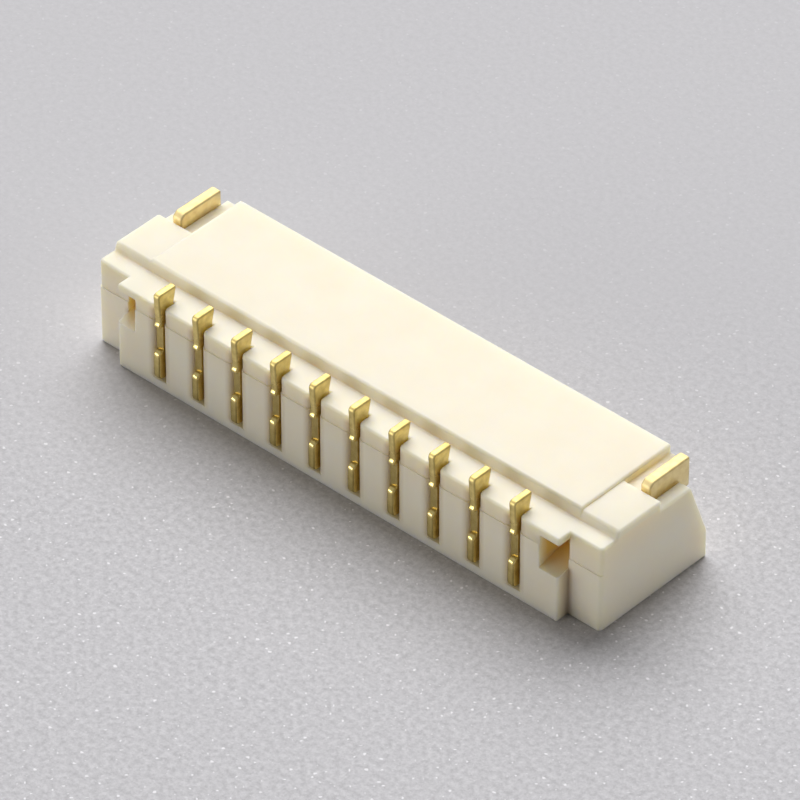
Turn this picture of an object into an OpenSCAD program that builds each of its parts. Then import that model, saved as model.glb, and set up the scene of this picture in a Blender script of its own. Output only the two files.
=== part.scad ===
// Board header of an insulation displacement connector: a single row of stamped blade contacts in a
// moulded side-entry housing, held down by two solder tabs. It lies with its solder side up.
// X runs along the row, +Y points out of the mating mouth, and Z is 0 on the flat pick-up face.

/* [Row] */
// Spacing of the contacts
pitch = 0.8; // [0.7:0.05:1.25]
// From the last contact to the end face of the housing
end_margin = 1.5; // [1.45:0.05:2]

/* [Housing] */
// Depth from the rear face of the end blocks to the mouth
body_depth = 2.4; // [2.3:0.05:3.2]
// Height of the raised board face above the pick-up face
body_h = 1.74; // [1.7:0.02:2.2]
// From the last contact to the end of the rear wall
wall_margin = 0.87; // [0.75:0.01:0.95]
// How far the rear wall stands out behind the end blocks
wall_proud = 0.24; // [0.15:0.01:0.4]
// From the last contact to the end of the raised board face
plate_margin = 0.77; // [0.7:0.01:0.8]
// Depth of the ledge below the board face
ledge_drop = 0.17; // [0.1:0.01:0.25]
// Width of the ledge in front of the end blocks' rear face
ledge_w = 0.34; // [0.25:0.01:0.5]
// Slope of the riser behind the ledge, measured along the floor
riser_run = 0.06; // [0:0.01:0.12]
// Depth of the end blocks' tops below the board face
end_drop = 0.04; // [0.01:0.01:0.08]
// Radius of the upright rear corners
corner_r = 0.08; // [0.04:0.01:0.12]
// Setback of the upper mould half at its parting line
part_step = 0.02; // [0.005:0.005:0.03]
// Parting line on the rear wall, below the ledge
wall_part_drop = 0.29; // [0.2:0.01:0.5]
// Parting line on the end blocks, below the ledge
block_part_drop = 0.5; // [0.3:0.01:0.7]

/* [Mouth] */
// Thickness of the wall on the pick-up side
floor_t = 0.3; // [0.2:0.01:0.36]
// Thickness of the wall on the board side
roof_t = 0.29; // [0.2:0.01:0.34]
// Thickness of the side walls inside the ends of the board face
side_t = 0.22; // [0.15:0.01:0.3]
// Thickness of the rear wall, from the end blocks' rear face
rear_t = 0.55; // [0.45:0.01:0.8]
// Lead-in chamfer round the mouth
lead_in = 0.08; // [0.03:0.01:0.12]

/* [Pockets] */
// Width of the coring pocket at each end of the rear wall
pocket_w = 0.37; // [0.25:0.01:0.42]
// Height of the pocket's floor above the pick-up face
pocket_floor = 0.84; // [0.6:0.01:1]
// Thickness of the ledge over the pocket
pocket_roof = 0.12; // [0.08:0.01:0.2]
// Depth of the pocket into the end block
pocket_d = 0.35; // [0.2:0.01:0.4]

/* [Contacts] */
// Thickness of the contact strip
contact_t = 0.13; // [0.1:0.01:0.2]
// Height of the solder plane above the board face
standoff = 0.1; // [0.06:0.01:0.15]
// How far the contacts' spines stand out behind the rear wall
contact_proud = 0.045; // [0.02:0.005:0.08]
// Front-to-back depth of the contact's spine
spine_d = 0.335; // [0.3:0.005:0.37]
// Overhang of the solder tail at its free end
tail_overhang = 0.06; // [0:0.005:0.08]
// Radius of the solder tail's heel
heel_r = 0.07; // [0.05:0.01:0.12]
// Height of the press-in root
root_h = 0.74; // [0.5:0.01:0.85]
// Height of the mating post
post_h = 0.26; // [0.18:0.01:0.36]
// Distance of the post's tip behind the mouth
post_setback = 0.4; // [0.2:0.01:0.7]
// Length of the taper at the post's tip
tip_taper = 0.16; // [0.08:0.01:0.25]
// Cut-off ridge on the spine's rear edge, below the solder plane
ridge_drop = 0.62; // [0.45:0.01:0.75]
// Height of the cut-off ridge
ridge_h = 0.035; // [0.02:0.005:0.06]
// Depth of the notch over the ridge
ridge_d = 0.03; // [0.01:0.005:0.05]
// Depth of the waist under the ridge
waist_d = 0.075; // [0.04:0.005:0.1]
// Space under the contact's lower end
toe_gap = 0.05; // [0.02:0.01:0.1]
// Height of the rounded foot
foot_h = 0.54; // [0.4:0.01:0.65]
// How far the foot stands out behind the spine
foot_proud = 0.025; // [0.01:0.005:0.05]
// Radius of the foot
foot_r = 0.1; // [0.05:0.01:0.12]

/* [Contact slots] */
// Space on each side of a contact in its open slot
slot_side = 0.01; // [0.005:0.005:0.04]
// Radius of the slots' rear edges, which guide the contacts in
slot_r = 0.105; // [0.05:0.005:0.14]
// Height of the slots' floor above the pick-up face
slot_floor = 0.17; // [0.12:0.01:0.25]
// Clearance round the pressed-in roots and legs
fit_gap = 0.01; // [0.005:0.005:0.02]

/* [Solder tabs] */
// Thickness of the tab strip
tab_t = 0.19; // [0.12:0.01:0.24]
// Middle of the tab, from the end face
tab_inset = 0.355; // [0.3:0.005:0.45]
// Length of the open recess, from the mouth
recess_len = 1.06; // [0.95:0.01:1.3]
// Depth of the recess floor below the board face, outside the tab
recess_drop = 0.2; // [0.18:0.01:0.3]
// Depth of the recess floor below the board face, inside the tab
shelf_drop = 0.14; // [0.08:0.01:0.17]
// Space between the recess wall and the tab
tab_gap = 0.03; // [0.02:0.01:0.15]
// Distance of the tab's free end behind the mouth
tab_setback = 0.13; // [0.02:0.01:0.3]
// Chamfer on the tab's inner corner
tab_chamfer = 0.08; // [0.03:0.01:0.15]
// Height of the tab's head below the solder plane
head_h = 0.54; // [0.4:0.01:0.65]
// Width of the tab's press-in leg
leg_w = 0.48; // [0.3:0.01:0.55]
// Height of the leg's foot above the pick-up face
leg_foot = 0.5; // [0.3:0.01:0.8]
// How far the end walls slope back from the mouth
slant_run = 0.39; // [0.2:0.01:0.45]
// Height at which that slope starts
slant_foot = 0.51; // [0.3:0.01:0.8]

/* [Hidden] */
$fn = 48;
ways = 10;
// Overrun of the cuts past the surfaces that they open
over = 0.2;

// Places along the row
x_last = (ways - 1) * pitch / 2;
x_end = x_last + end_margin;
x_wall = x_last + wall_margin;
x_plate = x_last + plate_margin;
x_mouth = x_plate - side_t;
x_tab = x_end - tab_inset;
x_shelf = x_tab - tab_t / 2 - fit_gap;

// Places from the end blocks' rear face towards the mouth
y_wall = -wall_proud;
y_contact = y_wall - contact_proud;
y_spine = y_contact + spine_d;
y_waist = y_contact + waist_d;
y_foot = y_contact - foot_proud;
y_riser = ledge_w + riser_run;
y_recess = body_depth - recess_len;
y_tab = y_recess + tab_gap;
y_tab_end = body_depth - tab_setback;
y_slant = body_depth - slant_run;
y_tip = body_depth - post_setback;

// Levels above the pick-up face
z_end = body_h - end_drop;
z_ledge = body_h - ledge_drop;
z_recess = body_h - recess_drop;
z_shelf = body_h - shelf_drop;
z_wall_part = z_ledge - wall_part_drop;
z_block_part = z_ledge - block_part_drop;
z_solder = body_h + standoff;
z_roof = body_h - roof_t;
z_post = (floor_t + z_roof) / 2;
z_ridge = z_solder - ridge_drop;
z_toe = slot_floor + toe_gap;
z_head = z_solder - head_h;

// Middle of the whole depth, which the origin lies under
y_mid = (body_depth + y_foot) / 2;

// Lay a profile drawn in Y and Z along the row
module along_x(x0, x1) {
    translate([x0, 0, 0])
        rotate([90, 0, 90])
            linear_extrude(x1 - x0)
                children();
}

// Draw the children on both ends of the row
module both_ends() {
    children();
    mirror([1, 0, 0])
        children();
}

// Set the finished piece over the origin
module placed() {
    translate([0, -y_mid, 0])
        children();
}

// Rectangle with true arcs at its corners
module rounded_rect(x0, y0, x1, y1, r) {
    translate([x0 + r, y0])
        square([x1 - x0 - 2 * r, y1 - y0]);
    translate([x0, y0 + r])
        square([x1 - x0, y1 - y0 - 2 * r]);
    for (x = [x0 + r, x1 - r], y = [y0 + r, y1 - r])
        translate([x, y])
            circle(r);
}

// Section of the end blocks: ledge, riser, tab recess and slope
module end_section() {
    polygon([
        [0, 0],
        [0, z_ledge],
        [ledge_w, z_ledge],
        [y_riser, z_end],
        [y_recess, z_end],
        [y_recess, z_recess],
        [y_slant, z_recess],
        [body_depth, slant_foot],
        [body_depth, 0]
    ]);
}

// Section between the end blocks, up to the raised board face
module plate_section() {
    polygon([
        [0, 0],
        [0, z_ledge],
        [ledge_w, z_ledge],
        [y_riser, body_h],
        [body_depth, body_h],
        [body_depth, 0]
    ]);
}

// Section of the rear wall that stands out behind the end blocks
module wall_section() {
    translate([y_wall, 0])
        square([ledge_w - y_wall, z_ledge]);
}

// Section of the shelf between the board face and the solder tabs
module shelf_section() {
    translate([y_recess, 0])
        square([body_depth - y_recess, z_shelf]);
}

// Plan of the end blocks: rounded behind and square at the mouth
module block_plan(setback) {
    rounded_rect(-x_end, setback, x_end, body_depth + over, corner_r);
}

// Plan of the rear wall
module wall_plan(setback) {
    rounded_rect(-x_wall, y_wall + setback, x_wall, rear_t, corner_r / 2);
}

// Both plans drawn up, set back above their parting lines
module envelope() {
    linear_extrude(z_block_part)
        block_plan(0);
    linear_extrude(z_wall_part)
        wall_plan(0);
    linear_extrude(body_h + over) {
        block_plan(part_step);
        wall_plan(part_step);
    }
}

// Mating mouth, flared by the lead-in on all four sides
module mouth() {
    flare = lead_in + over;
    intersection() {
        along_x(-x_end, x_end)
            polygon([
                [rear_t, floor_t],
                [body_depth - lead_in, floor_t],
                [body_depth + over, floor_t - flare],
                [body_depth + over, z_roof + flare],
                [body_depth - lead_in, z_roof],
                [rear_t, z_roof]
            ]);
        linear_extrude(body_h)
            polygon([
                [-x_mouth, rear_t],
                [x_mouth, rear_t],
                [x_mouth, body_depth - lead_in],
                [x_mouth + flare, body_depth + over],
                [-x_mouth - flare, body_depth + over],
                [-x_mouth, body_depth - lead_in]
            ]);
    }
}

// Plan of one contact slot from the wall face at y0, flared by its rounded rear edges
module slot_plan(y0) {
    half = contact_t / 2 + slot_side;
    translate([-half, y0 - over])
        square([2 * half, y_spine - y0 + over]);
    difference() {
        translate([-half - slot_r, y0 - over])
            square([2 * (half + slot_r), slot_r + over]);
        for (side = [-1, 1])
            translate([side * (half + slot_r), y0 + slot_r])
                circle(slot_r);
    }
}

// Slot of one contact: open behind and above, with a narrow hole for the root
module contact_slot() {
    half_root = contact_t / 2 + fit_gap;
    translate([0, 0, slot_floor])
        linear_extrude(z_ledge - slot_floor + over)
            slot_plan(y_wall);
    translate([0, 0, z_wall_part])
        linear_extrude(z_ledge - z_wall_part + over)
            slot_plan(y_wall + part_step);
    along_x(-half_root, half_root)
        translate([y_spine - over, z_post - root_h / 2 - fit_gap])
            square([rear_t - y_spine + 2 * over, root_h + 2 * fit_gap]);
}

// Coring pocket at the right end of the rear wall
module pocket() {
    translate([x_wall - pocket_w, y_wall - over, pocket_floor])
        cube([pocket_w, pocket_d - y_wall + over, z_ledge - pocket_roof - pocket_floor]);
}

// Side view of a solder tab, grown by the clearance all round but at its foot
module tab_section(gap) {
    polygon([
        [y_tab - gap, leg_foot],
        [y_tab + leg_w + gap, leg_foot],
        [y_tab + leg_w + gap, z_head - gap],
        [y_tab_end + gap, z_head - gap],
        [y_tab_end + gap, z_solder + gap],
        [y_tab + tab_chamfer, z_solder + gap],
        [y_tab - gap, z_solder - tab_chamfer]
    ]);
}

// Blade of the right solder tab, with its clearance
module tab_blade(gap) {
    half = tab_t / 2 + gap;
    along_x(x_tab - half, x_tab + half)
        tab_section(gap);
}

module housing() {
    color("ivory")
        placed()
            difference() {
                intersection() {
                    union() {
                        along_x(-x_end, x_end)
                            end_section();
                        along_x(-x_plate, x_plate)
                            plate_section();
                        along_x(-x_shelf, x_shelf)
                            shelf_section();
                        along_x(-x_wall, x_wall)
                            wall_section();
                    }
                    envelope();
                }
                mouth();
                for (k = [1 : ways])
                    translate([(k - 1) * pitch - x_last, 0, 0])
                        contact_slot();
                both_ends() {
                    pocket();
                    tab_blade(fit_gap);
                }
            }
}

// Side view of a contact: spine with root and post, tail, cut-off ridge, and foot
module contact_section() {
    y_heel = y_contact + heel_r;
    z_heel = z_solder - heel_r;
    polygon([
        [y_waist, z_toe],
        [y_spine, z_toe],
        [y_spine, z_post - root_h / 2],
        [rear_t, z_post - root_h / 2],
        [rear_t + post_h / 2, z_post - post_h / 2],
        [y_tip - tip_taper, z_post - post_h / 2],
        [y_tip, z_post - post_h / 4],
        [y_tip, z_post + post_h / 4],
        [y_tip - tip_taper, z_post + post_h / 2],
        [rear_t + post_h / 2, z_post + post_h / 2],
        [rear_t, z_post + root_h / 2],
        [y_spine, z_post + root_h / 2],
        [y_spine, z_ledge],
        [y_spine + tail_overhang, z_solder],
        [y_heel, z_solder],
        [y_heel, z_heel],
        [y_contact, z_heel],
        [y_contact + ridge_d, z_ridge + ridge_h],
        [y_contact, z_ridge + ridge_h],
        [y_contact, z_ridge],
        [y_waist, z_ridge]
    ]);
    translate([y_heel, z_heel])
        circle(heel_r);
    rounded_rect(y_foot, z_toe, y_waist + 2 * foot_r, z_toe + foot_h, foot_r);
}

// Contact number k, counted along +X
module contact(k) {
    color("gold")
        placed()
            translate([(k - 1) * pitch - x_last, 0, 0])
                along_x(-contact_t / 2, contact_t / 2)
                    contact_section();
}

module solder_tab_right() {
    color("goldenrod")
        placed()
            tab_blade(0);
}

module solder_tab_left() {
    mirror([1, 0, 0])
        solder_tab_right();
}

housing();
for (k = [1 : ways])
    contact(k);
solder_tab_left();
solder_tab_right();
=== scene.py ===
"""Looks of a ten-way board header: a moulded ivory housing with stamped, gold-plated contacts and tabs.

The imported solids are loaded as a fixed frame, in metres. Each piece here is a merged copy of its solid
with softly rounded edges and a procedural finish, and stands where its solid stands. +X runs along the
row of contacts, the rear wall that they stand in faces -Y, and the board side lies up, towards +Z.
"""

import math

import bmesh
import bpy
from bpy.props import FloatProperty, FloatVectorProperty, IntProperty, PointerProperty
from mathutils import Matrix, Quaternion, Vector
from mathutils.bvhtree import BVHTree


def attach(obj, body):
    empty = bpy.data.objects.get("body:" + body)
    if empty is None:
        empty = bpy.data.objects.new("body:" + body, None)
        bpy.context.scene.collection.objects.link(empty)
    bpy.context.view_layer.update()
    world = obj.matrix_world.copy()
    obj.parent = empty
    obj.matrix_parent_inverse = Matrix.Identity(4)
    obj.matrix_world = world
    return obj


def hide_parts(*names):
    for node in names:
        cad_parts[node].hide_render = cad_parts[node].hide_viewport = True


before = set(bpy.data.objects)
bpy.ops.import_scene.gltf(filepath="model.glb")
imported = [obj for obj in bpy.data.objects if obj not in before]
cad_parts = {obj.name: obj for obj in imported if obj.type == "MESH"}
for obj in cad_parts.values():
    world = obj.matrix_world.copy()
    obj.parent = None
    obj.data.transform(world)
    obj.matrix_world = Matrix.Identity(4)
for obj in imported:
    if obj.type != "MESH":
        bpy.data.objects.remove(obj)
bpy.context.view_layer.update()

bl_info = {
    "name": "Board header",
    "version": (1, 0, 0),
    "blender": (4, 5, 0),
    "location": "3D View > Sidebar > Header",
    "description": "Dresses the solids of a fine-pitch board header for a studio picture",
    "category": "Object",
}

BODY = "root"
MM = 0.001


def millimetres(*lengths):
    """Lengths in millimetres as metres."""
    return tuple(length * MM for length in lengths)


# Corners closer than this are one
WELD = 1e-8
# Edges and faces that turn by less than this run straight on
STRAIGHT = math.radians(0.5)
# Creases flatter than this belong to a curved face
CREASE = math.radians(15)
# Inner creases flatter than this get a rounding too, of this share
SHALLOW = math.radians(40)
SHALLOW_SHARE = 0.4
# Edges that meet at less than this angle, given by its cosine, run on as one line
RUN_ON = math.cos(math.radians(45))
# Most of a face's width, or of a crossing edge's length, that one rounding may use
ROOM_SHARE = 0.4
# Most of an arc's radius that a rounding along it may use
BEND_SHARE = 0.8
# Roundings below this size are left as plain creases
LEAST_ROUNDING = 0.006 * MM
# Where the search for what stands in front of an edge starts
CLEAR_OF_EDGE = 0.002 * MM
# Weight with which the largest face at a corner sets the normal there
LARGEST_FACE = 100

# Corners closer than this to a given place are at it
NEAR = 0.004 * MM
# Y and Z of the inner edge on top of the contacts' cut-off ridge, and how far it is lifted
RIDGE_EDGE = millimetres(-1.3, 1.255)
RIDGE_LIFT = 0.05 * MM
# Coring pockets: their reach along X, back, floor, and how steeply the floor rises from the rear wall
POCKET_X = millimetres(4.05, 4.5)
POCKET_BACK = -0.68 * MM
POCKET_FLOOR = 0.84 * MM
POCKET_SLOPE = 0.25
REAR_WALL = -1.285 * MM

# Places of the painted shade and glow, of the metal's dullness and of the floor's grain, along one axis
# each. Two values: none, full. Four values: none, full, full, none.
# Painted brown shade and gold reflection in the contact slots: from the middle of a contact, from the
# middle of the row, along Y and along Z
PITCH = 0.8 * MM
SLOT_SIDE = millimetres(0.23, 0.09)
SLOT_ROW = millimetres(4.0, 3.9)
SLOT_Y = millimetres(-0.95, -1.05)
SLOT_Z = millimetres(0.13, 0.23, 1.45, 1.53)
# Painted shade in the inner corners between the comb and the end blocks
CORNER_X = millimetres(4.44, 4.47, 4.47, 4.56)
CORNER_Y = millimetres(-1.26, -1.08, -1.04, -1.0)
CORNER_Z = millimetres(1.0, 0.9)
# Painted warm glow inside the coring pockets
HOLLOW_X = millimetres(4.05, 4.1, 4.46, 4.49)
HOLLOW_Y = millimetres(-1.275, -1.09, -0.68, -0.66)
HOLLOW_Z = millimetres(0.85, 1.03, 1.46, 1.5)
# Painted warm glow on upright faces below the rim of the ledge
RIM_GLOW_Z = millimetres(0.9, 1.5, 1.56, 1.6)
# Part of the metal that stands clear of the plastic, and part that lies in a slot and gets painted shade
WORN_Z = millimetres(1.4, 1.5)
IN_SLOT_SHADE_Y = millimetres(-1.32, -1.25, -1.0, -0.9)
# Stretch of the floor, away from the camera, over which its grain fades
FLOOR_FADE = millimetres(4.0, -1.5)

# How much painted shade the full places take
SLOT_SHADE_SHARE = 0.75
CORNER_SHADE_SHARE = 0.6
EDGE_SHADE_SHARE = 0.45
IN_SLOT_SHADE_SHARE = 0.5
# What the moulded skin, the worn metal, its upward faces and its rolling lines add to the roughness
SKIN_ROUGHNESS = 0.16
WORN_ROUGHNESS = 0.16
WORN_TOP_ROUGHNESS = 0.26
LINE_ROUGHNESS = 0.12
# Brightness of the floor's dark grain, light grain and grits against its own colour
FLOOR_TONES = (0.84, 1.16, 1.5)
# Strength of the grain and of the grits far off, and what is added to it towards the camera
FAR_GRAIN = 0.8
NEAR_GRAIN = 2.0
FAR_GRIT = 0.25
NEAR_GRIT = 0.75

# Lamps stand one metre from the part; turns are about +Z, from +Y
KEY_ELEVATION = math.radians(50)
KEY_SIZE = 0.976
KEY_ROLL = math.radians(45)
FILL_ELEVATION = math.radians(11)
FILL_SIZE = (0.8, 0.25)
REAR_TURN = math.radians(150)
END_TURN = math.radians(294)
SENSOR_WIDTH = 36
CLIP_RANGE = (MM, 10)

# Limits and units that settings share
COLOUR = {"subtype": "COLOR", "size": 3, "min": 0, "max": 1}
FINE_LENGTH = {"unit": "LENGTH", "precision": 6}
SHARE = {"min": 0, "max": 1}
STRIPS = {"min": 1, "max": 8}


class HousingProps(bpy.types.PropertyGroup):
    """Edges and finish of the moulded housing."""

    edge: FloatProperty(
        name="Edge",
        description="Rounding of the edges that lie open",
        default=0.045 * MM,
        **FINE_LENGTH,
    )
    segments: IntProperty(
        name="Segments",
        description="Strips of faces across each rounding",
        default=4,
        **STRIPS,
    )
    colour: FloatVectorProperty(
        name="Ivory",
        description="Colour of the plastic",
        default=(0.925, 0.85, 0.69),
        **COLOUR,
    )
    shade: FloatVectorProperty(
        name="Ivory shade",
        description="Deeper tone that clouds the plastic",
        default=(0.905, 0.82, 0.645),
        **COLOUR,
    )
    # Painted glow: a warm colour that stands in for light bouncing between the walls of the pockets
    pocket_glow_colour: FloatVectorProperty(
        name="Plastic in hollows",
        description="Warmer tone that light takes on between close walls",
        default=(1.0, 0.71, 0.20),
        **COLOUR,
    )
    # Painted glow: a warm colour that stands in for light reaching through the plastic from the lit rim
    rim_glow_colour: FloatVectorProperty(
        name="Plastic near the rim",
        description="Warmer tone of upright faces that light reaches through the rim above",
        default=(0.95, 0.82, 0.61),
        **COLOUR,
    )
    # Painted shade: a brown that stands in for shade and gold light beside the contacts and for shade in
    # inner corners
    groove_shade_colour: FloatVectorProperty(
        name="Plastic in grooves",
        description="Browner tone that the gold throws on the plastic beside it",
        default=(0.54, 0.41, 0.22),
        **COLOUR,
    )
    light_depth: FloatProperty(
        name="Light depth",
        description="How far light spreads inside the plastic",
        default=0.24 * MM,
        **FINE_LENGTH,
    )
    roughness: FloatProperty(
        name="Roughness",
        description="Roughness of the smoothest spots of the moulded skin",
        default=0.42,
        **SHARE,
    )


class ContactProps(bpy.types.PropertyGroup):
    """Edges and finish of the stamped contacts."""

    edge: FloatProperty(
        name="Edge",
        description="Rounding of the stamped edges",
        default=0.032 * MM,
        **FINE_LENGTH,
    )
    segments: IntProperty(
        name="Segments",
        description="Strips of faces across each rounding",
        default=3,
        **STRIPS,
    )
    swell: FloatProperty(
        name="Swell",
        description="How fast a rounding may grow along its edge, away from a narrow place",
        default=0.25,
        **SHARE,
    )
    colour: FloatVectorProperty(
        name="Gold",
        description="Colour of the plating",
        default=(0.84, 0.68, 0.27),
        **COLOUR,
    )
    shade: FloatVectorProperty(
        name="Gold shade",
        description="Deeper tone of the plating",
        default=(0.62, 0.48, 0.17),
        **COLOUR,
    )
    # Painted shade: a dark colour that stands in for dark reflections along the sheared edges and for
    # shade in the slots
    edge_shade_colour: FloatVectorProperty(
        name="Sheared edge",
        description="Duller tone along the sheared edges and in the slots",
        default=(0.30, 0.20, 0.05),
        **COLOUR,
    )
    roughness: FloatProperty(
        name="Roughness",
        description="Roughness of the plating below the solder face",
        default=0.16,
        **SHARE,
    )


class TabProps(bpy.types.PropertyGroup):
    """Edges and finish of the solder tabs."""

    edge: FloatProperty(
        name="Edge",
        description="Rounding of the stamped edges",
        default=0.035 * MM,
        **FINE_LENGTH,
    )
    segments: IntProperty(
        name="Segments",
        description="Strips of faces across each rounding",
        default=3,
        **STRIPS,
    )
    colour: FloatVectorProperty(
        name="Gold",
        description="Colour of the plating",
        default=(0.92, 0.77, 0.41),
        **COLOUR,
    )
    shade: FloatVectorProperty(
        name="Gold shade",
        description="Deeper tone of the plating",
        default=(0.80, 0.63, 0.31),
        **COLOUR,
    )
    # Painted shade: a dark colour that stands in for dark reflections along the sheared edges and for
    # shade where the metal lies in a slot
    edge_shade_colour: FloatVectorProperty(
        name="Sheared edge",
        description="Duller tone along the sheared edges",
        default=(0.36, 0.25, 0.08),
        **COLOUR,
    )
    roughness: FloatProperty(
        name="Roughness",
        description="Roughness of the plating below the solder face",
        default=0.26,
        **SHARE,
    )


class StageProps(bpy.types.PropertyGroup):
    """Floor, light and camera."""

    floor_colour: FloatVectorProperty(
        name="Floor",
        description="Colour of the floor",
        default=(0.63, 0.62, 0.64),
        **COLOUR,
    )
    floor_size: FloatProperty(
        name="Floor size",
        description="Half the side of the floor",
        default=2.0,
        unit="LENGTH",
    )
    key_level: FloatProperty(
        name="Key light",
        description="Brightness of the soft lamp over and behind the part",
        default=4.6,
    )
    rear_level: FloatProperty(
        name="Rear fill light",
        description="Brightness of the low lamp in front of the rear wall",
        default=4.6,
    )
    end_level: FloatProperty(
        name="End fill light",
        description="Brightness of the low lamp beside the right end",
        default=3.3,
    )
    sky_level: FloatProperty(
        name="Surroundings",
        description="Brightness of the light that comes from all round the part",
        default=0.03,
    )
    room_colour: FloatVectorProperty(
        name="Room",
        description="Colour of the room, as the camera and the metal see it",
        default=(0.45, 0.45, 0.46),
        **COLOUR,
    )
    azimuth: FloatProperty(
        name="Azimuth",
        description="Direction of the camera, turned from the rear wall towards +X",
        default=math.radians(42.439),
        subtype="ANGLE",
    )
    elevation: FloatProperty(
        name="Elevation",
        description="Height of the camera above the floor",
        default=math.radians(39.130),
        subtype="ANGLE",
    )
    position: FloatVectorProperty(
        name="Camera place",
        description="Where the camera stands",
        default=millimetres(63.154, -68.878, 77.014),
        subtype="TRANSLATION",
        size=3,
        precision=6,
    )
    lens: FloatProperty(
        name="Lens",
        description="Focal length in millimetres on a 36 mm sensor",
        default=361.53,
    )


class HeaderProps(bpy.types.PropertyGroup):
    """All settings of the header's looks."""

    housing: PointerProperty(type=HousingProps)
    contacts: PointerProperty(type=ContactProps)
    tabs: PointerProperty(type=TabProps)
    stage: PointerProperty(type=StageProps)


class Wire:
    """A node's output that can be used in arithmetic."""

    def __init__(self, finish, socket):
        self.finish = finish
        self.socket = socket

    def maths(self, operation, first, second):
        """Result of a Math node on two values."""
        return self.finish.add("Math", {"operation": operation}, {0: first, 1: second})

    def __add__(self, other):
        return self.maths("ADD", self, other)

    __radd__ = __add__

    def __sub__(self, other):
        return self.maths("SUBTRACT", self, other)

    def __rsub__(self, other):
        return self.maths("SUBTRACT", other, self)

    def __mul__(self, other):
        return self.maths("MULTIPLY", self, other)

    __rmul__ = __mul__


class Finish:
    """A material, or the world, built up node by node."""

    def __init__(self, owner):
        self.owner = owner
        owner.use_nodes = True
        self.tree = owner.node_tree
        self.tree.nodes.clear()

    def add(self, kind, settings=None, inputs=None, output=0):
        """Add a node with its settings and the values or wires of its inputs, and return one output."""
        node = self.tree.nodes.new("ShaderNode" + kind)
        for key, value in (settings or {}).items():
            setattr(node, key, value)
        for key, value in (inputs or {}).items():
            if isinstance(value, Wire):
                self.tree.links.new(value.socket, node.inputs[key])
            else:
                node.inputs[key].default_value = value
        return Wire(self, node.outputs[output])

    def place(self, stretch=(1, 1, 1)):
        """The piece's own coordinates, stretched."""
        spot = self.add("TexCoord", None, None, "Object")
        return self.add("Mapping", None, {"Vector": spot, "Scale": stretch})

    def facing(self):
        """Direction in which the surface faces."""
        return self.add("NewGeometry", None, None, "Normal")

    def axes(self, vector):
        """The three parts of a vector."""
        return [self.add("SeparateXYZ", None, {"Vector": vector}, axis) for axis in "XYZ"]

    def noise(self, place, size, detail, roughness=0.5):
        """Noise from 0 to 1 whose features are about as large as size."""
        inputs = {"Vector": place, "Scale": 1 / size, "Detail": detail, "Roughness": roughness}
        return self.add("TexNoise", None, inputs)

    def ramp(self, value, low, high):
        """0 at low and 1 at high, straight between."""
        inputs = {"Value": value, "From Min": low, "From Max": high}
        return self.add("MapRange", {"clamp": True}, inputs)

    def window(self, value, start, full, wane, end):
        """0 outside start and end, 1 from full to wane, straight between."""
        return self.ramp(value, start, full) * self.ramp(value, end, wane)

    def mix(self, share, first, second):
        """Colour between first and second."""
        return self.add("Mix", {"data_type": "RGBA"}, {0: share, 6: first, 7: second}, 2)

    def bump(self, height, depth, strength):
        """Normal of a surface that is as uneven as height, which goes from 0 to 1."""
        return self.add("Bump", None, {"Height": height, "Distance": depth, "Strength": strength})

    def principled(self, inputs):
        """The owner, finished with one Principled shader."""
        return self.surface(self.add("BsdfPrincipled", None, inputs))

    def surface(self, shader):
        """The owner, finished with a shader."""
        kind = "World" if isinstance(self.owner, bpy.types.World) else "Material"
        node = self.tree.nodes.new("ShaderNodeOutput" + kind)
        self.tree.links.new(shader.socket, node.inputs["Surface"])
        return self.owner


def opaque(colour, factor=1):
    """A colour times a factor, as far as white, with full alpha."""
    return (*(min(1, factor * part) for part in colour), 1)


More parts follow.
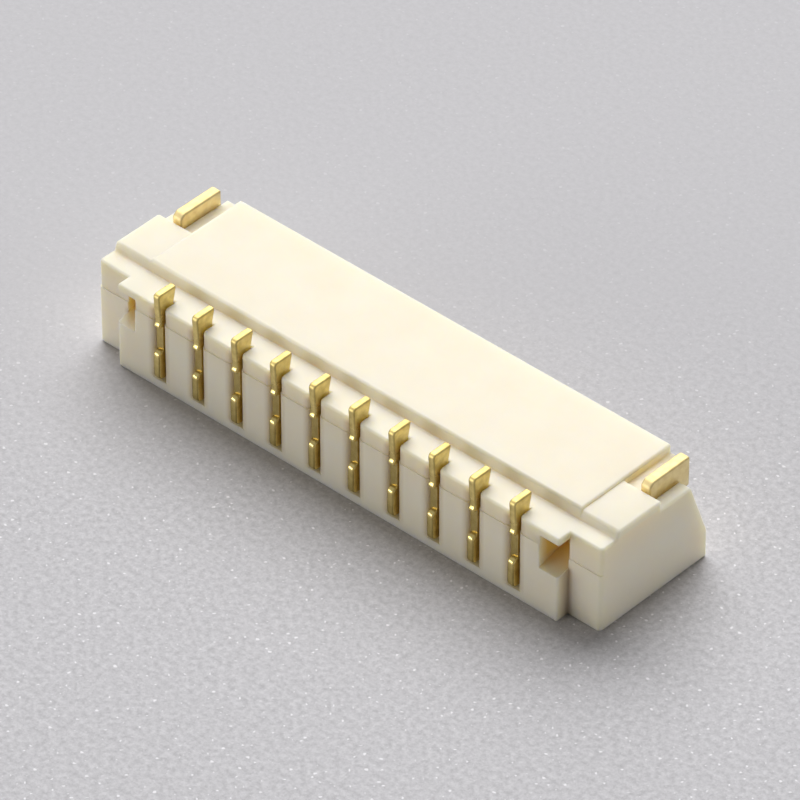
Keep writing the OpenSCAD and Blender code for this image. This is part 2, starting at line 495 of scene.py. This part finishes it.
def moulded_ivory(props):
    """Translucent satin plastic with a fine spark-eroded skin and faint clouding, painted shade in its
    slots and corners, and painted glow in its pockets and below its rim.
    """
    finish = Finish(bpy.data.materials.new("moulded_ivory"))
    place = finish.place()
    cloud = finish.noise(place, size=0.9 * MM, detail=3)
    skin = finish.noise(place, size=0.025 * MM, detail=3, roughness=0.6)
    dimple = finish.noise(place, size=0.16 * MM, detail=2)

    x, y, z = finish.axes(place)
    aside = finish.add("Math", {"operation": "ABSOLUTE"}, {0: x})
    # Swings between 0 and half a pitch, which it reaches at the middle of each contact
    swing = finish.add("Math", {"operation": "PINGPONG"}, {0: x, 1: PITCH / 2})
    # Masks of painted shade: brown in the contact slots, standing in for shade and gold light, and in
    # the inner corners
    slots = finish.ramp(PITCH / 2 - swing, *SLOT_SIDE) * finish.ramp(aside, *SLOT_ROW)
    slots = slots * finish.ramp(y, *SLOT_Y) * finish.window(z, *SLOT_Z)
    corners = finish.window(aside, *CORNER_X) * finish.window(y, *CORNER_Y) * finish.ramp(z, *CORNER_Z)
    # Mask of painted warm glow inside the coring pockets
    pocket_glow = finish.window(aside, *HOLLOW_X) * finish.window(y, *HOLLOW_Y) * finish.window(z, *HOLLOW_Z)
    upward = finish.axes(finish.facing())[2]
    # Mask of painted warm glow on upright faces below the rim
    rim = (1 - upward * upward) * finish.window(z, *RIM_GLOW_Z)

    clouded = finish.ramp(cloud, low=0.35, high=0.7)
    colour = finish.mix(clouded, opaque(props.colour), opaque(props.shade))
    # Painted warm glow below the rim
    colour = finish.mix(rim, colour, opaque(props.rim_glow_colour))
    # Painted brown shade in the slots and inner corners
    painted_shade = SLOT_SHADE_SHARE * slots + CORNER_SHADE_SHARE * corners
    colour = finish.mix(painted_shade, colour, opaque(props.groove_shade_colour))
    # Painted warm glow in the pockets
    colour = finish.mix(pocket_glow, colour, opaque(props.pocket_glow_colour))
    return finish.principled(
        {
            "Base Color": colour,
            "Roughness": props.roughness + SKIN_ROUGHNESS * skin,
            "IOR": 1.52,
            "Subsurface Weight": 1.0,
            "Subsurface Radius": (1.0, 0.94, 0.6),
            "Subsurface Scale": props.light_depth,
            "Normal": finish.bump(0.7 * skin + 0.3 * dimple, depth=0.004 * MM, strength=0.35),
        }
    )


def plated_gold(name, props):
    """Thin gold over a rolled strip: fine lines along the strip, slightly uneven gloss, and painted
    shade along the sheared edges and in the slots.
    """
    finish = Finish(bpy.data.materials.new(name))
    place = finish.place()
    cloud = finish.noise(place, size=0.12 * MM, detail=3)
    lines = finish.noise(finish.place((1, 6, 1)), size=0.06 * MM, detail=4, roughness=0.65)

    _, y, z = finish.axes(place)
    across, _, upward = finish.axes(finish.facing())
    # The strip's rolled faces look along X; sheared corners face half way between and get a painted dark
    # line that stands in for dark reflections
    rolled = across * across
    sheared = finish.ramp(4 * rolled * (1 - rolled), low=0.1, high=0.9)
    worn = finish.ramp(z, *WORN_Z)
    # Mask of painted shade where the metal lies in a slot
    in_slot_shade = finish.window(y, *IN_SLOT_SHADE_Y) * (1 - worn) * (1 - rolled)

    clouded = finish.ramp(cloud, low=0.35, high=0.75)
    colour = finish.mix(clouded, opaque(props.colour), opaque(props.shade))
    # Painted dark lines along the sheared edges, then painted shade where the metal lies in a slot
    colour = finish.mix(EDGE_SHADE_SHARE * sheared, colour, opaque(props.edge_shade_colour))
    colour = finish.mix(IN_SLOT_SHADE_SHARE * in_slot_shade, colour, opaque(props.edge_shade_colour))
    # The part that is soldered is duller, most of all where it faces up
    dullness = worn * (WORN_ROUGHNESS + WORN_TOP_ROUGHNESS * upward * upward)
    return finish.principled(
        {
            "Base Color": colour,
            "Metallic": 1.0,
            "Roughness": props.roughness + dullness + LINE_ROUGHNESS * lines,
            "Normal": finish.bump(lines, depth=0.0012 * MM, strength=0.2),
        }
    )


def painted_floor(props):
    """Pale grey board with a fine grain and a few bright grits, both plainer away from the camera."""
    finish = Finish(bpy.data.materials.new("pale_floor"))
    place = finish.place()
    x, y, _ = finish.axes(place)
    away = math.cos(props.azimuth) * y - math.sin(props.azimuth) * x
    plain = finish.ramp(away, *FLOOR_FADE)
    uneven = finish.noise(place, size=0.1 * MM, detail=3, roughness=0.75) - 0.5
    grain = 0.5 + uneven * (FAR_GRAIN + NEAR_GRAIN * plain)
    speck = finish.noise(place, size=0.08 * MM, detail=0)
    grit = finish.ramp(speck, low=0.74, high=0.82) * (FAR_GRIT + NEAR_GRIT * plain)

    dark, light, bright = (opaque(props.floor_colour, factor) for factor in FLOOR_TONES)
    colour = finish.mix(grit, finish.mix(grain, dark, light), bright)
    return finish.principled({"Base Color": colour, "Roughness": 0.8, "Specular IOR Level": 0.1})


def heading(edge):
    """Unit vector along an edge."""
    return (edge.verts[1].co - edge.verts[0].co).normalized()


def middle_of(edge):
    """Point half way along an edge."""
    return (edge.verts[0].co + edge.verts[1].co) / 2


def lies_open(tree, edge):
    """True if nothing of the piece stands in front of the edge."""
    outwards = sum((face.normal for face in edge.link_faces), Vector()).normalized()
    return tree.ray_cast(middle_of(edge) + CLEAR_OF_EDGE * outwards, outwards)[0] is None


def meeting(edge):
    """Edges at either end of an edge, each with True if it runs on in the edge's line."""
    line = heading(edge)
    for vert in edge.verts:
        for other in vert.link_edges:
            if other is not edge:
                yield other, abs(line.dot(heading(other))) >= RUN_ON


def running_on(edge, among):
    """Edges that carry on from either end of an edge."""
    return [other for other, in_line in meeting(edge) if in_line and other in among]


def width_beside(edge, face):
    """Width of a face at the middle of one of its edges, square to that edge."""
    along = heading(edge)
    middle = middle_of(edge)
    inwards = face.normal.cross(along)
    loop = next(k for k in face.loops if k.edge is edge)
    if loop.vert is not edge.verts[0]:
        inwards = -inwards
    nearest = math.inf
    for other in face.edges:
        first = other.verts[0].co - middle
        second = other.verts[1].co - middle
        before = first.dot(along)
        after = second.dot(along)
        if other is not edge and before * after <= 0 and before != after:
            share = before / (before - after)
            depth = first.lerp(second, share).dot(inwards)
            if depth > WELD:
                nearest = min(nearest, depth)
    return nearest


def mean_length(edge, other):
    """Distance between the middles of two edges in line, along them."""
    return (edge.calc_length() + other.calc_length()) / 2


def bend_radius(edge, other):
    """Radius of the arc that two edges in line belong to."""
    turn = math.acos(min(1, abs(heading(edge).dot(heading(other)))))
    return mean_length(edge, other) / turn if turn > STRAIGHT else math.inf


def roundings(bm, wanted, swell):
    """Rounding of each crease: as wanted, within the room there is, growing by swell along a line."""
    tree = BVHTree.FromBMesh(bm)
    widths = {}
    for edge in bm.edges:
        angle = edge.calc_face_angle(0)
        if angle > CREASE:
            room = [other.calc_length() for other, in_line in meeting(edge) if not in_line]
            room += [width_beside(edge, face) for face in edge.link_faces]
            most = min(wanted, ROOM_SHARE * min(room))
            if not edge.is_convex:
                most = SHALLOW_SHARE * most if angle < SHALLOW else 0
            widths[edge] = most if lies_open(tree, edge) else 0
    for edge in widths:
        for other in running_on(edge, widths):
            widths[edge] = min(widths[edge], BEND_SHARE * bend_radius(edge, other))
    queue = sorted(widths, key=widths.get)
    for edge in queue:
        for other in running_on(edge, widths):
            most = widths[edge] + swell * mean_length(edge, other)
            if widths[other] > most:
                widths[other] = most
                queue.append(other)
    return widths


def sloped_ridge(corner):
    """A contact's corner, lifted if it is the inner one of the cut-off ridge, whose top then slopes."""
    beside = abs(corner.y - RIDGE_EDGE[0]) + abs(corner.z - RIDGE_EDGE[1])
    return corner + Vector((0, 0, RIDGE_LIFT)) if beside < NEAR else corner


def sloped_pocket(corner):
    """A corner of the housing, lifted if it is on the floor of a coring pocket, which then slopes."""
    inside = POCKET_X[0] < abs(corner.x) < POCKET_X[1] and corner.y < POCKET_BACK
    if not inside or abs(corner.z - POCKET_FLOOR) > NEAR:
        return corner
    return corner + Vector((0, 0, POCKET_SLOPE * (corner.y - REAR_WALL)))


def dressed_copy(node, name, material, props, swell=0.0, reshape=None):
    """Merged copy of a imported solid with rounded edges, in place of the solid."""
    bm = bmesh.new()
    bm.from_mesh(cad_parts[node].data)
    bmesh.ops.remove_doubles(bm, verts=bm.verts, dist=WELD)
    bmesh.ops.dissolve_limit(bm, angle_limit=STRAIGHT, verts=bm.verts, edges=bm.edges)
    if reshape:
        for vert in bm.verts:
            vert.co = reshape(vert.co)
    bm.normal_update()
    weight = bm.edges.layers.float.new("bevel_weight_edge")
    for face in bm.faces:
        face.smooth = True
    for edge, rounding in roundings(bm, props.edge, swell).items():
        if rounding >= LEAST_ROUNDING:
            edge[weight] = rounding / props.edge
        else:
            edge.smooth = False
    mesh = bpy.data.meshes.new(name)
    bm.to_mesh(mesh)
    bm.free()
    mesh.materials.append(material)
    piece = bpy.data.objects.new(name, mesh)
    bpy.context.scene.collection.objects.link(piece)

    bevel = piece.modifiers.new("Rounded edges", "BEVEL")
    bevel.limit_method = "WEIGHT"
    bevel.width = props.edge
    bevel.segments = props.segments
    bevel.use_clamp_overlap = False
    flat = piece.modifiers.new("Flat faces", "WEIGHTED_NORMAL")
    flat.keep_sharp = True
    flat.weight = LARGEST_FACE
    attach(piece, BODY)
    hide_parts(node)


class HEADER_OT_housing(bpy.types.Operator):
    """Make the moulded housing"""

    bl_idname = "header.housing"
    bl_label = "Housing"

    def execute(self, context):
        props = context.scene.header.housing
        ivory = moulded_ivory(props)
        dressed_copy("housing", "housing_shell", ivory, props, reshape=sloped_pocket)
        return {"FINISHED"}


class HEADER_OT_contacts(bpy.types.Operator):
    """Make the row of stamped contacts"""

    bl_idname = "header.contacts"
    bl_label = "Contacts"

    def execute(self, context):
        props = context.scene.header.contacts
        gold = plated_gold("contact_plating", props)
        nodes = sorted(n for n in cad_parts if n.startswith("contact_"))
        if not nodes:
            raise RuntimeError("the packed model has no contacts")
        for node in nodes:
            dressed_copy(node, node + "_blade", gold, props, props.swell, sloped_ridge)
        return {"FINISHED"}


class HEADER_OT_tabs(bpy.types.Operator):
    """Make the two solder tabs"""

    bl_idname = "header.tabs"
    bl_label = "Solder tabs"

    def execute(self, context):
        props = context.scene.header.tabs
        gold = plated_gold("tab_plating", props)
        for side in ("left", "right"):
            node = "solder_tab_" + side
            dressed_copy(node, node + "_blade", gold, props)
        return {"FINISHED"}


def lay_floor(scene, props):
    """Square floor under the part."""
    bm = bmesh.new()
    bmesh.ops.create_grid(bm, x_segments=1, y_segments=1, size=props.floor_size)
    mesh = bpy.data.meshes.new("floor")
    bm.to_mesh(mesh)
    bm.free()
    mesh.materials.append(painted_floor(props))
    floor = bpy.data.objects.new("floor", mesh)
    scene.collection.objects.link(floor)


def make_room(scene, props):
    """Surroundings that give little light but show pale to the camera and in the metal."""
    sky = Finish(bpy.data.worlds.new("pale_room"))
    seen = sky.add("LightPath", None, None, "Is Camera Ray")
    mirrored = sky.add("LightPath", None, None, "Is Glossy Ray")
    colour = sky.mix(seen + mirrored, opaque([props.sky_level] * 3), opaque(props.room_colour))
    scene.world = sky.surface(sky.add("Background", None, {"Color": colour}))


def soft_lamp(scene, name, turn, elevation, size, level, roll=0.0):
    """Oblong lamp that faces the part, rolled in its own plane; level is its radiance."""
    wide, high = size
    light = bpy.data.lights.new(name, "AREA")
    light.shape = "RECTANGLE"
    light.size = wide
    light.size_y = high
    light.energy = level * math.pi * wide * high
    lamp = bpy.data.objects.new(name, light)
    upright = Vector((0, 0, 1))
    lamp.location = Quaternion(upright, turn) @ Vector((0, math.cos(elevation), math.sin(elevation)))
    lamp.rotation_mode = "QUATERNION"
    lamp.rotation_quaternion = (-lamp.location).to_track_quat("-Z", "Y") @ Quaternion(upright, roll)
    scene.collection.objects.link(lamp)
    return lamp


def set_lamps(scene, props):
    """Key lamp behind the part and a low fill for each upright side that the camera sees."""
    soft_lamp(
        scene, "key_lamp", props.azimuth, KEY_ELEVATION, (KEY_SIZE, KEY_SIZE), props.key_level, KEY_ROLL
    )
    soft_lamp(scene, "rear_fill", REAR_TURN, FILL_ELEVATION, FILL_SIZE, props.rear_level)
    end_fill = soft_lamp(scene, "end_fill", END_TURN, FILL_ELEVATION, FILL_SIZE, props.end_level)
    end_fill.visible_glossy = False


def set_camera(scene, props):
    """Camera at its place, level from side to side."""
    lens = bpy.data.cameras.new("camera")
    lens.sensor_width = SENSOR_WIDTH
    lens.lens = props.lens
    lens.clip_start, lens.clip_end = CLIP_RANGE
    camera = bpy.data.objects.new("camera", lens)
    camera.location = props.position
    camera.rotation_euler = (math.pi / 2 - props.elevation, 0, props.azimuth)
    scene.collection.objects.link(camera)
    scene.camera = camera


class HEADER_OT_stage(bpy.types.Operator):
    """Make the floor, the lamps and the camera"""

    bl_idname = "header.stage"
    bl_label = "Stage"

    def execute(self, context):
        scene = context.scene
        props = scene.header.stage
        scene.view_settings.view_transform = "Standard"
        lay_floor(scene, props)
        make_room(scene, props)
        set_lamps(scene, props)
        set_camera(scene, props)
        return {"FINISHED"}


class HEADER_PT_panel(bpy.types.Panel):
    """Buttons and settings of the header"""

    bl_idname = "HEADER_PT_panel"
    bl_label = "Board header"
    bl_space_type = "VIEW_3D"
    bl_region_type = "UI"
    bl_category = "Header"

    def draw(self, context):
        header = context.scene.header
        for operator, props in (
            (HEADER_OT_housing, header.housing),
            (HEADER_OT_contacts, header.contacts),
            (HEADER_OT_tabs, header.tabs),
            (HEADER_OT_stage, header.stage),
        ):
            box = self.layout.box()
            box.operator(operator.bl_idname)
            for name in props.bl_rna.properties.keys():
                if name not in ("rna_type", "name"):
                    box.prop(props, name)


CLASSES = (
    HousingProps,
    ContactProps,
    TabProps,
    StageProps,
    HeaderProps,
    HEADER_OT_housing,
    HEADER_OT_contacts,
    HEADER_OT_tabs,
    HEADER_OT_stage,
    HEADER_PT_panel,
)


def register():
    """Make the settings, operators and panel known."""
    for cls in CLASSES:
        bpy.utils.register_class(cls)
    bpy.types.Scene.header = PointerProperty(type=HeaderProps)


def unregister():
    """Take back what register made known."""
    del bpy.types.Scene.header
    for cls in reversed(CLASSES):
        bpy.utils.unregister_class(cls)


def main():
    """Build the whole picture."""
    register()
    bpy.ops.header.stage()
    bpy.ops.header.housing()
    bpy.ops.header.contacts()
    bpy.ops.header.tabs()


if __name__ == "__main__":
    main()
